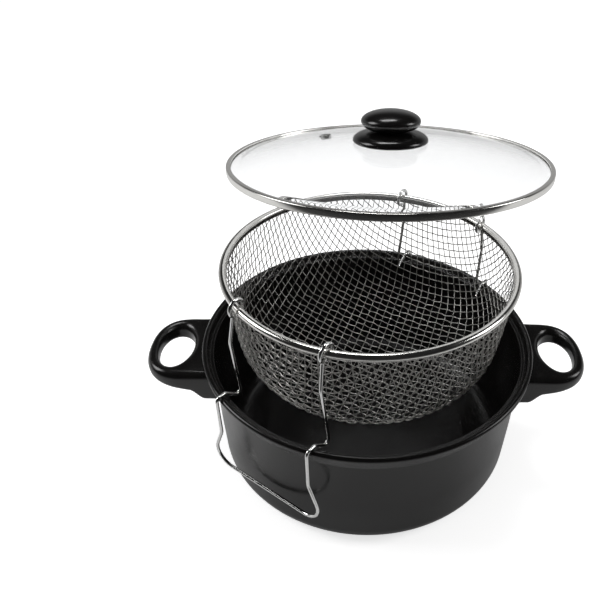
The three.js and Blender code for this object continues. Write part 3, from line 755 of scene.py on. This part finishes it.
def drawn(flat, wave):
    """Where spots of the flat blank lie on the bowl, each a wave off the sheet."""
    way = np.abs(flat)
    aside = flat / np.maximum(way, WAY_STEP)
    r = np.interp(way, ways, bowl_r)
    z = np.interp(way, ways, bowl_z)
    normals = np.stack(
        (
            aside.real * np.interp(way, ways, out_r),
            aside.imag * np.interp(way, ways, out_r),
            np.interp(way, ways, out_z),
        ),
        axis=1,
    )
    spots = np.stack((aside.real * r, aside.imag * r, z), axis=1)
    return spots + normals * wave[:, None], normals


def wire_skin(line, normals, radius, points, faces):
    """Adds the skin of one wire, with its ends closed."""
    ahead = np.gradient(line, axis=0)
    ahead /= np.linalg.norm(ahead, axis=1)[:, None]
    sideways = np.cross(ahead, normals)
    sideways /= np.linalg.norm(sideways, axis=1)[:, None]
    outward = np.cross(sideways, ahead)
    start = len(points)
    for k in range(len(line)):
        for side in range(WIRE_SIDES):
            angle = math.tau * side / WIRE_SIDES
            arm = math.cos(angle) * outward[k] + math.sin(angle) * sideways[k]
            points.append(line[k] + radius * arm)
    for k in range(len(line) - 1):
        for side in range(WIRE_SIDES):
            following = (side + 1) % WIRE_SIDES
            low, high = start + k * WIRE_SIDES, start + (k + 1) * WIRE_SIDES
            faces.append((low + side, high + side, high + following, low + following))
    last = start + (len(line) - 1) * WIRE_SIDES
    faces.append(tuple(range(start, start + WIRE_SIDES)))
    faces.append(tuple(range(last + WIRE_SIDES - 1, last - 1, -1)))


crimped_step = PITCH_ALONG_CRIMPED * np.exp(1j * CRIMPED_BEARING)
straight_step = PITCH_ALONG_STRAIGHT * np.exp(1j * STRAIGHT_BEARING)
cells = np.arange(-FARTHEST_WIRE, FARTHEST_WIRE, 1 / STATIONS_PER_CELL)
for family, radius, crimp, along, across in (
    ("crimped", CRIMPED_WIRE_RADIUS, CRIMP, crimped_step, straight_step),
    ("straight", STRAIGHT_WIRE_RADIUS, -SLIGHT_CRIMP, straight_step, crimped_step),
):
    points, faces = [], []
    for number in range(-FARTHEST_WIRE, FARTHEST_WIRE + 1):
        flat = number * across + cells * along
        held = np.abs(flat) < way_to_hem + HEM_RISE
        if held.sum() < SHORTEST_WIRE:
            continue
        wave = crimp * np.cos(math.pi * (cells[held] + number))
        wire_skin(*drawn(flat[held], wave), radius, points, faces)
    woven = piece(
        "net_wires_" + family,
        points,
        faces,
        tinned_wire,
        "basket",
        sharp=80,
        place=Matrix.Translation((0, 0, BAND_Z)),
    )
    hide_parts("basket_net")


# Bails. Chromed spring wire, one length to each, bent to an eye round the rim
# band, a leg, a hook over the pot's rim and a level grip outside it.

BAIL_BEARING = math.radians(54.1)
BAIL_WIRE_RADIUS = 1.2
EYE_RADIUS = 6
EYE_OUTSET = 0.15
EYE_LIFT = 0.25
EYE_OPENING = 270
EYE_LEG_ANGLE = -50
EYE_LEG_BEND = 1.5
EYE_STEPS = 44
EYE_CELLS_ALONG = 8
EYE_CELLS_ACROSS = 3
LEG_SPREAD = 3
KNEE_REACH = 104
KNEE_RISE = 40.5
HOOK_INSET = 10.4
HOOK_DIP = 10.5
HOOK_CLEARANCE = 0.8
CREST_INSET = 0.9
GRIP_DROP = 63.5
SPREAD_START_DROP = 30
SPREAD_WIDTH = 13.8
KNEE_BEND = 12
HOOK_BEND = 3
SPREAD_BEND = 9
GRIP_BEND = 13
BEND_STEPS = 10
BAIL_SIDES = 16
END_SHARES = (0.97, 0.8, 0.5)
END_INSET = 0.4
CHROME_COLOR = (0.8, 0.8, 0.79)
CHROME_DARK = (0.74, 0.74, 0.73)
CHROME_PALE = (0.84, 0.84, 0.83)
CHROME_ROUGHNESS = (0.05, 0.13)
POLISHING_MARKS = 120
POLISHING_RELIEF = 0.012

chrome, nodes, links, shader = finish("chrome", CHROME_COLOR, roughness=0.07, metallic=1)
polish = grain(nodes, links, POLISHING_MARKS, stretch=(1, 1, 4))
links.new(between(nodes, links, polish, *CHROME_ROUGHNESS), shader.inputs["Roughness"])
links.new(tint(nodes, links, polish, CHROME_DARK, CHROME_PALE), shader.inputs["Base Color"])
relief(nodes, links, shader, polish, POLISHING_RELIEF)


def rounded(before, corner, after, radius):
    """Points of a bend between two straight runs."""
    back = (before - corner).normalized()
    ahead = (after - corner).normalized()
    half = back.angle(ahead) / 2
    centre = corner + (back + ahead).normalized() * (radius / math.sin(half))
    start = corner + back * (radius / math.tan(half)) - centre
    axis = back.cross(ahead).normalized()
    turn_by = -(math.pi - 2 * half)
    return [
        centre + Matrix.Rotation(turn_by * i / BEND_STEPS, 3, axis) @ start
        for i in range(BEND_STEPS + 1)
    ]


def tube(line, radius, sides):
    """Points and faces of a round wire along a line, with rounded ends."""
    ahead = []
    for k in range(len(line)):
        following = line[min(k + 1, len(line) - 1)]
        ahead.append((following - line[max(k - 1, 0)]).normalized())
    arm = ahead[0].orthogonal().normalized()
    points, faces = [], []
    first_end, last_end = [], []
    for end_share in END_SHARES:
        narrowed = math.sqrt(1 - end_share**2)
        past = radius * (end_share - END_INSET)
        first_end.append((line[0] - ahead[0] * past, ahead[0], narrowed))
        last_end.append((line[-1] + ahead[-1] * past, ahead[-1], narrowed))
    middle = [(spot, way, 1) for spot, way in zip(line, ahead)]
    rings = first_end + middle + last_end[::-1]
    for spot, way, share in rings:
        arm = (arm - way * arm.dot(way)).normalized()
        side_arm = way.cross(arm)
        for side in range(sides):
            angle = math.tau * side / sides
            reach = arm * math.cos(angle) + side_arm * math.sin(angle)
            points.append(spot + reach * radius * share)
    for k in range(len(rings) - 1):
        for side in range(sides):
            following = (side + 1) % sides
            low, high = k * sides, (k + 1) * sides
            faces.append((low + side, low + following, high + following, high + side))
    faces.append(tuple(range(sides - 1, -1, -1)))
    last = (len(rings) - 1) * sides
    faces.append(tuple(range(last, last + sides)))
    return points, faces


def outward_of(radius, along):
    """How far out a circle lies at a distance along from its middle."""
    return math.sqrt(radius**2 - along**2)


eye_angle = math.atan2(EYE_CELLS_ACROSS, EYE_CELLS_ALONG)
eye_x = band_middle * math.cos(eye_angle) + EYE_OUTSET
eye_y = band_middle * math.sin(eye_angle)
hook_y = eye_y + LEG_SPREAD
rim_z = POT_HEIGHT - BAND_Z
inner_wall_x = outward_of(WALL_RADIUS - WALL_THICKNESS, hook_y + BAIL_WIRE_RADIUS)
bead_inner_x = outward_of(RIM_RADIUS - 2 * BEAD_RADIUS, hook_y)
hook_outer_x = outward_of(RIM_RADIUS, hook_y - BAIL_WIRE_RADIUS)
hook_outer_x += BAIL_WIRE_RADIUS + HOOK_CLEARANCE
crest_z = rim_z + GAP + BAIL_WIRE_RADIUS
grip_z = rim_z - GRIP_DROP
*eye, leg_top = [
    Vector((x, eye_y, z))
    for x, z in arc(eye_x, EYE_LIFT, EYE_RADIUS, EYE_OPENING, EYE_LEG_ANGLE, EYE_STEPS)
]
half_bail = eye[:-1]
runs = [
    (leg_top, EYE_LEG_BEND),
    ((KNEE_REACH, eye_y + LEG_SPREAD / 2, rim_z + KNEE_RISE), KNEE_BEND),
    ((inner_wall_x - HOOK_INSET, hook_y, rim_z - HOOK_DIP), HOOK_BEND),
    ((bead_inner_x - CREST_INSET, hook_y, crest_z), HOOK_BEND),
    ((hook_outer_x, hook_y, crest_z), HOOK_BEND),
    ((hook_outer_x, hook_y, rim_z - SPREAD_START_DROP), SPREAD_BEND),
    ((hook_outer_x, hook_y + SPREAD_WIDTH, grip_z), GRIP_BEND),
    ((hook_outer_x, 0, grip_z), None),
]
before = half_bail[-1]
for (corner, bend), (after, _) in zip(runs, runs[1:]):
    corner = Vector(corner)
    half_bail += rounded(before, corner, Vector(after), bend)
    before = corner
mirror = Matrix.Scale(-1, 3, Vector((0, 1, 0)))
bail_line = half_bail + [mirror @ p for p in reversed(half_bail)]
for name, bearing in (("back", BAIL_BEARING), ("front", BAIL_BEARING + math.pi)):
    bail = piece(
        "bail_wire_" + name,
        *tube(bail_line, BAIL_WIRE_RADIUS, BAIL_SIDES),
        chrome,
        "bail_" + name,
        sharp=60,
        place=Matrix.Translation((0, 0, BAND_Z)) @ Matrix.Rotation(bearing, 4, "Z"),
    )
    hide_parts("bail_" + name)


# Lid glass. Pressed from clear toughened glass as a shallow dome with a flat
# margin, and drilled for the knob's screw and for the steam vent.

LID_RADIUS = 118
LID_DOME_HEIGHT = 18.6
GLASS_THICKNESS = 3
LID_BAND_SHEET = 0.7
GLASS_MARGIN = 6
SCREW_HOLE_RADIUS = 3.4
VENT_RADIUS = 54.8
VENT_BEARING = math.radians(150.6)
VENT_HOLE_RADIUS = 2.9
LID_SPOT = (13.4, 60.2, 211.8)
LID_NOD = math.radians(-8.63)
LID_LEAN = math.radians(-0.93)
GLASS_COLOR = (0.905, 0.91, 0.915)
GLASS_SHADE = (0.93, 0.945, 0.94, 1)
RIPPLES = 14
RIPPLE_RELIEF = 0.03
DOME_STEPS = 28
LID_STEPS = 224
VENT_STEPS = 48

lid_place = (
    Matrix.Translation(LID_SPOT)
    @ Matrix.Rotation(LID_NOD, 4, "X")
    @ Matrix.Rotation(LID_LEAN, 4, "Y")
)

clear_glass, nodes, links, shader = finish("clear_glass", GLASS_COLOR, roughness=0, ior=1.45)
shader.inputs["Transmission Weight"].default_value = 1
ripple = grain(nodes, links, RIPPLES, detail=2)
relief(nodes, links, shader, ripple, RIPPLE_RELIEF)
surface_out = next(n for n in nodes if n.type == "OUTPUT_MATERIAL")
lets_through = nodes.new("ShaderNodeBsdfTransparent")
lets_through.inputs["Color"].default_value = GLASS_SHADE
shade_mix = nodes.new("ShaderNodeMixShader")
links.new(seen_by(nodes, links, {"Is Shadow Ray": 1}), shade_mix.inputs[0])
links.new(shader.outputs[0], shade_mix.inputs[1])
links.new(lets_through.outputs[0], shade_mix.inputs[2])
links.new(shade_mix.outputs[0], surface_out.inputs["Surface"])

glass_radius = LID_RADIUS - LID_BAND_SHEET - GAP
dome_radius = glass_radius - GLASS_MARGIN
glass_bottom = LID_BAND_SHEET + GAP
glass_top = glass_bottom + GLASS_THICKNESS
dome_rise = LID_DOME_HEIGHT - glass_top
dome_sphere = (dome_radius**2 + dome_rise**2) / (2 * dome_rise)


def dome_top_at(radius):
    """Height of the glass's upper face at a radius."""
    return LID_DOME_HEIGHT - dome_sphere + math.sqrt(dome_sphere**2 - radius**2)


def dome_profile(below):
    """The dome's line from its margin to the screw's hole, a depth below the top."""
    radii = np.linspace(dome_radius, SCREW_HOLE_RADIUS, DOME_STEPS + 1)
    return [(r, dome_top_at(r) - below) for r in radii]


vent_spot = Vector(
    (
        VENT_RADIUS * math.cos(VENT_BEARING),
        VENT_RADIUS * math.sin(VENT_BEARING),
        dome_top_at(VENT_RADIUS),
    )
)
vent_up = Vector((vent_spot.x, vent_spot.y, math.sqrt(dome_sphere**2 - VENT_RADIUS**2)))
vent_place = (
    Matrix.Translation(vent_spot)
    @ Vector((0, 0, 1)).rotation_difference(vent_up).to_matrix().to_4x4()
)

glass_profile = [
    (glass_radius, glass_bottom),
    (glass_radius, glass_top),
    *dome_profile(0),
    *reversed(dome_profile(GLASS_THICKNESS)),
]
dome = piece(
    "glass_dome",
    *turned(glass_profile, LID_STEPS, closed=True),
    clear_glass,
    "lid",
    place=lid_place,
)
drill_profile = [
    (0, -GLASS_THICKNESS * 2),
    (VENT_HOLE_RADIUS, -GLASS_THICKNESS * 2),
    (VENT_HOLE_RADIUS, GLASS_THICKNESS),
    (0, GLASS_THICKNESS),
]
drill = piece(
    "vent_drill",
    *turned(drill_profile, VENT_STEPS),
    clear_glass,
    "lid",
    place=lid_place @ vent_place,
)
cut(dome, drill)
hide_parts("lid_glass")


# Lid band. Bright steel strip closed round the glass, with both its edges
# folded in over the margin, above and below.

LID_BAND_WIDTH = 3.4
LID_BAND_CORNER = 0.9
LID_CORNER_STEPS = 5

lid_band_height = GLASS_THICKNESS + 2 * LID_BAND_SHEET + 2 * GAP
low_in = LID_RADIUS - LID_BAND_WIDTH
fold_x = LID_RADIUS - LID_BAND_CORNER
fold_top = lid_band_height - LID_BAND_CORNER
lid_band_profile = [
    (low_in, 0),
    *arc(fold_x, LID_BAND_CORNER, LID_BAND_CORNER, -90, 0, LID_CORNER_STEPS),
    *arc(fold_x, fold_top, LID_BAND_CORNER, 0, 90, LID_CORNER_STEPS),
    (low_in, lid_band_height),
    (low_in, lid_band_height - LID_BAND_SHEET),
    (LID_RADIUS - LID_BAND_SHEET, lid_band_height - LID_BAND_SHEET),
    (LID_RADIUS - LID_BAND_SHEET, LID_BAND_SHEET),
    (low_in, LID_BAND_SHEET),
]
lid_ring = piece(
    "lid_ring",
    *turned(lid_band_profile, LID_STEPS, closed=True),
    rolled_steel,
    "lid",
    place=lid_place,
)
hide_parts("lid_rim_band")


# Steam vent. A thin steel eyelet pushed through the glass, its two flanges
# spun over above and below.

FLANGE_RADIUS = 3.9
FLANGE_THICKNESS = 0.8
EYELET_WALL = 0.9
FLANGE_STEPS = 6

eyelet_radius = VENT_HOLE_RADIUS - GAP
eyelet_top = GAP + FLANGE_THICKNESS
eyelet_bottom = -GLASS_THICKNESS - GAP - FLANGE_THICKNESS
flange_edge = FLANGE_THICKNESS / 2
flange_x = FLANGE_RADIUS - flange_edge
eyelet_bore = eyelet_radius - EYELET_WALL
eyelet_profile = [
    (eyelet_bore, eyelet_bottom + flange_edge),
    (eyelet_bore + flange_edge, eyelet_bottom),
    *arc(flange_x, eyelet_bottom + flange_edge, flange_edge, -90, 90, FLANGE_STEPS),
    (eyelet_radius, eyelet_bottom + FLANGE_THICKNESS),
    (eyelet_radius, GAP),
    *arc(flange_x, GAP + flange_edge, flange_edge, -90, 90, FLANGE_STEPS),
    (eyelet_bore + flange_edge, eyelet_top),
    (eyelet_bore, eyelet_top - flange_edge),
]
eyelet = piece(
    "vent_eyelet",
    *turned(eyelet_profile, VENT_STEPS, closed=True),
    steel_screw,
    "lid",
    place=lid_place @ vent_place,
)
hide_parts("vent_grommet")


# Knob fixing. A pressed washer and a screw under the glass, with a black
# fibre seal above it. They stay as the frame has them.

FIBRE_COLOR = (0.02, 0.019, 0.018)
FIBRE_DARK = (0.012, 0.012, 0.011)
FIBRE_PALE = (0.035, 0.033, 0.03)
FIBRES = 700
FIBRE_RELIEF = 0.05

fibre, nodes, links, shader = finish("fibre", FIBRE_COLOR, roughness=0.7)
threads = grain(nodes, links, FIBRES, detail=4)
links.new(tint(nodes, links, threads, FIBRE_DARK, FIBRE_PALE), shader.inputs["Base Color"])
relief(nodes, links, shader, threads, FIBRE_RELIEF)
dress("knob_washer", steel_screw)
dress("knob_screw", steel_screw)
dress("knob_seal", fibre)


# Knob skirt. A shallow domed disc of black bakelite that spreads the knob's
# load on the glass.

SKIRT_RADIUS = 27.2
SKIRT_EDGE = 1.2
SKIRT_TOP = 25.3
NECK_RADIUS = 11.3
WASHER_BORE = 2.7
WASHER_RADIUS = 8
WASHER_THICKNESS = 1.2
SKIRT_STEPS = 16
KNOB_TURNS = 128

seal_bottom = LID_DOME_HEIGHT + GAP
skirt_seat = seal_bottom + WASHER_THICKNESS + GAP
skirt_low = dome_top_at(SKIRT_RADIUS) + GAP
skirt_edge_top = skirt_low + SKIRT_EDGE


def shoulder(outer_x, inner_x, outer_z, inner_z, steps):
    """A quarter of an oval, from its outer point at one height to its inner one."""
    curve = arc(0, 0, 1, 0, 90, steps)
    return [
        (inner_x + (outer_x - inner_x) * out, outer_z + (inner_z - outer_z) * rise)
        for out, rise in curve
    ]


skirt_profile = [
    (WASHER_BORE, skirt_seat),
    (WASHER_RADIUS + GAP, skirt_seat),
    (WASHER_RADIUS + GAP, seal_bottom),
    (SKIRT_RADIUS - SKIRT_EDGE / 2, skirt_low),
    (SKIRT_RADIUS, skirt_low + SKIRT_EDGE / 2),
    *shoulder(SKIRT_RADIUS, NECK_RADIUS, skirt_edge_top, SKIRT_TOP, SKIRT_STEPS),
    (WASHER_BORE, SKIRT_TOP),
]
skirt = piece(
    "knob_skirt_disc",
    *turned(skirt_profile, KNOB_TURNS, closed=True),
    moulded_black,
    "lid",
    place=lid_place,
)
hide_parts("knob_skirt")


# Lid knob. A mushroom of black bakelite on a short neck, polished on top,
# with a threaded bore for the screw.

KNOB_TOP = 40
CAP_RADIUS = 21.4
CAP_WIDEST = 32.2
CAP_UNDERSIDE = 26.2
BORE_TOP = 35.8
CAP_STEPS = 18

cap_under = shoulder(CAP_RADIUS, NECK_RADIUS, CAP_WIDEST, CAP_UNDERSIDE, CAP_STEPS)
knob_profile = [
    (0, BORE_TOP),
    (WASHER_BORE, BORE_TOP),
    (WASHER_BORE, SKIRT_TOP + GAP),
    (NECK_RADIUS, SKIRT_TOP + GAP),
    *reversed(cap_under),
    *shoulder(CAP_RADIUS, 0, CAP_WIDEST, KNOB_TOP, CAP_STEPS)[1:],
]
knob = piece(
    "knob_cap",
    *turned(knob_profile, KNOB_TURNS),
    moulded_black,
    "lid",
    sharp=50,
    place=lid_place,
)
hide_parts("lid_knob")
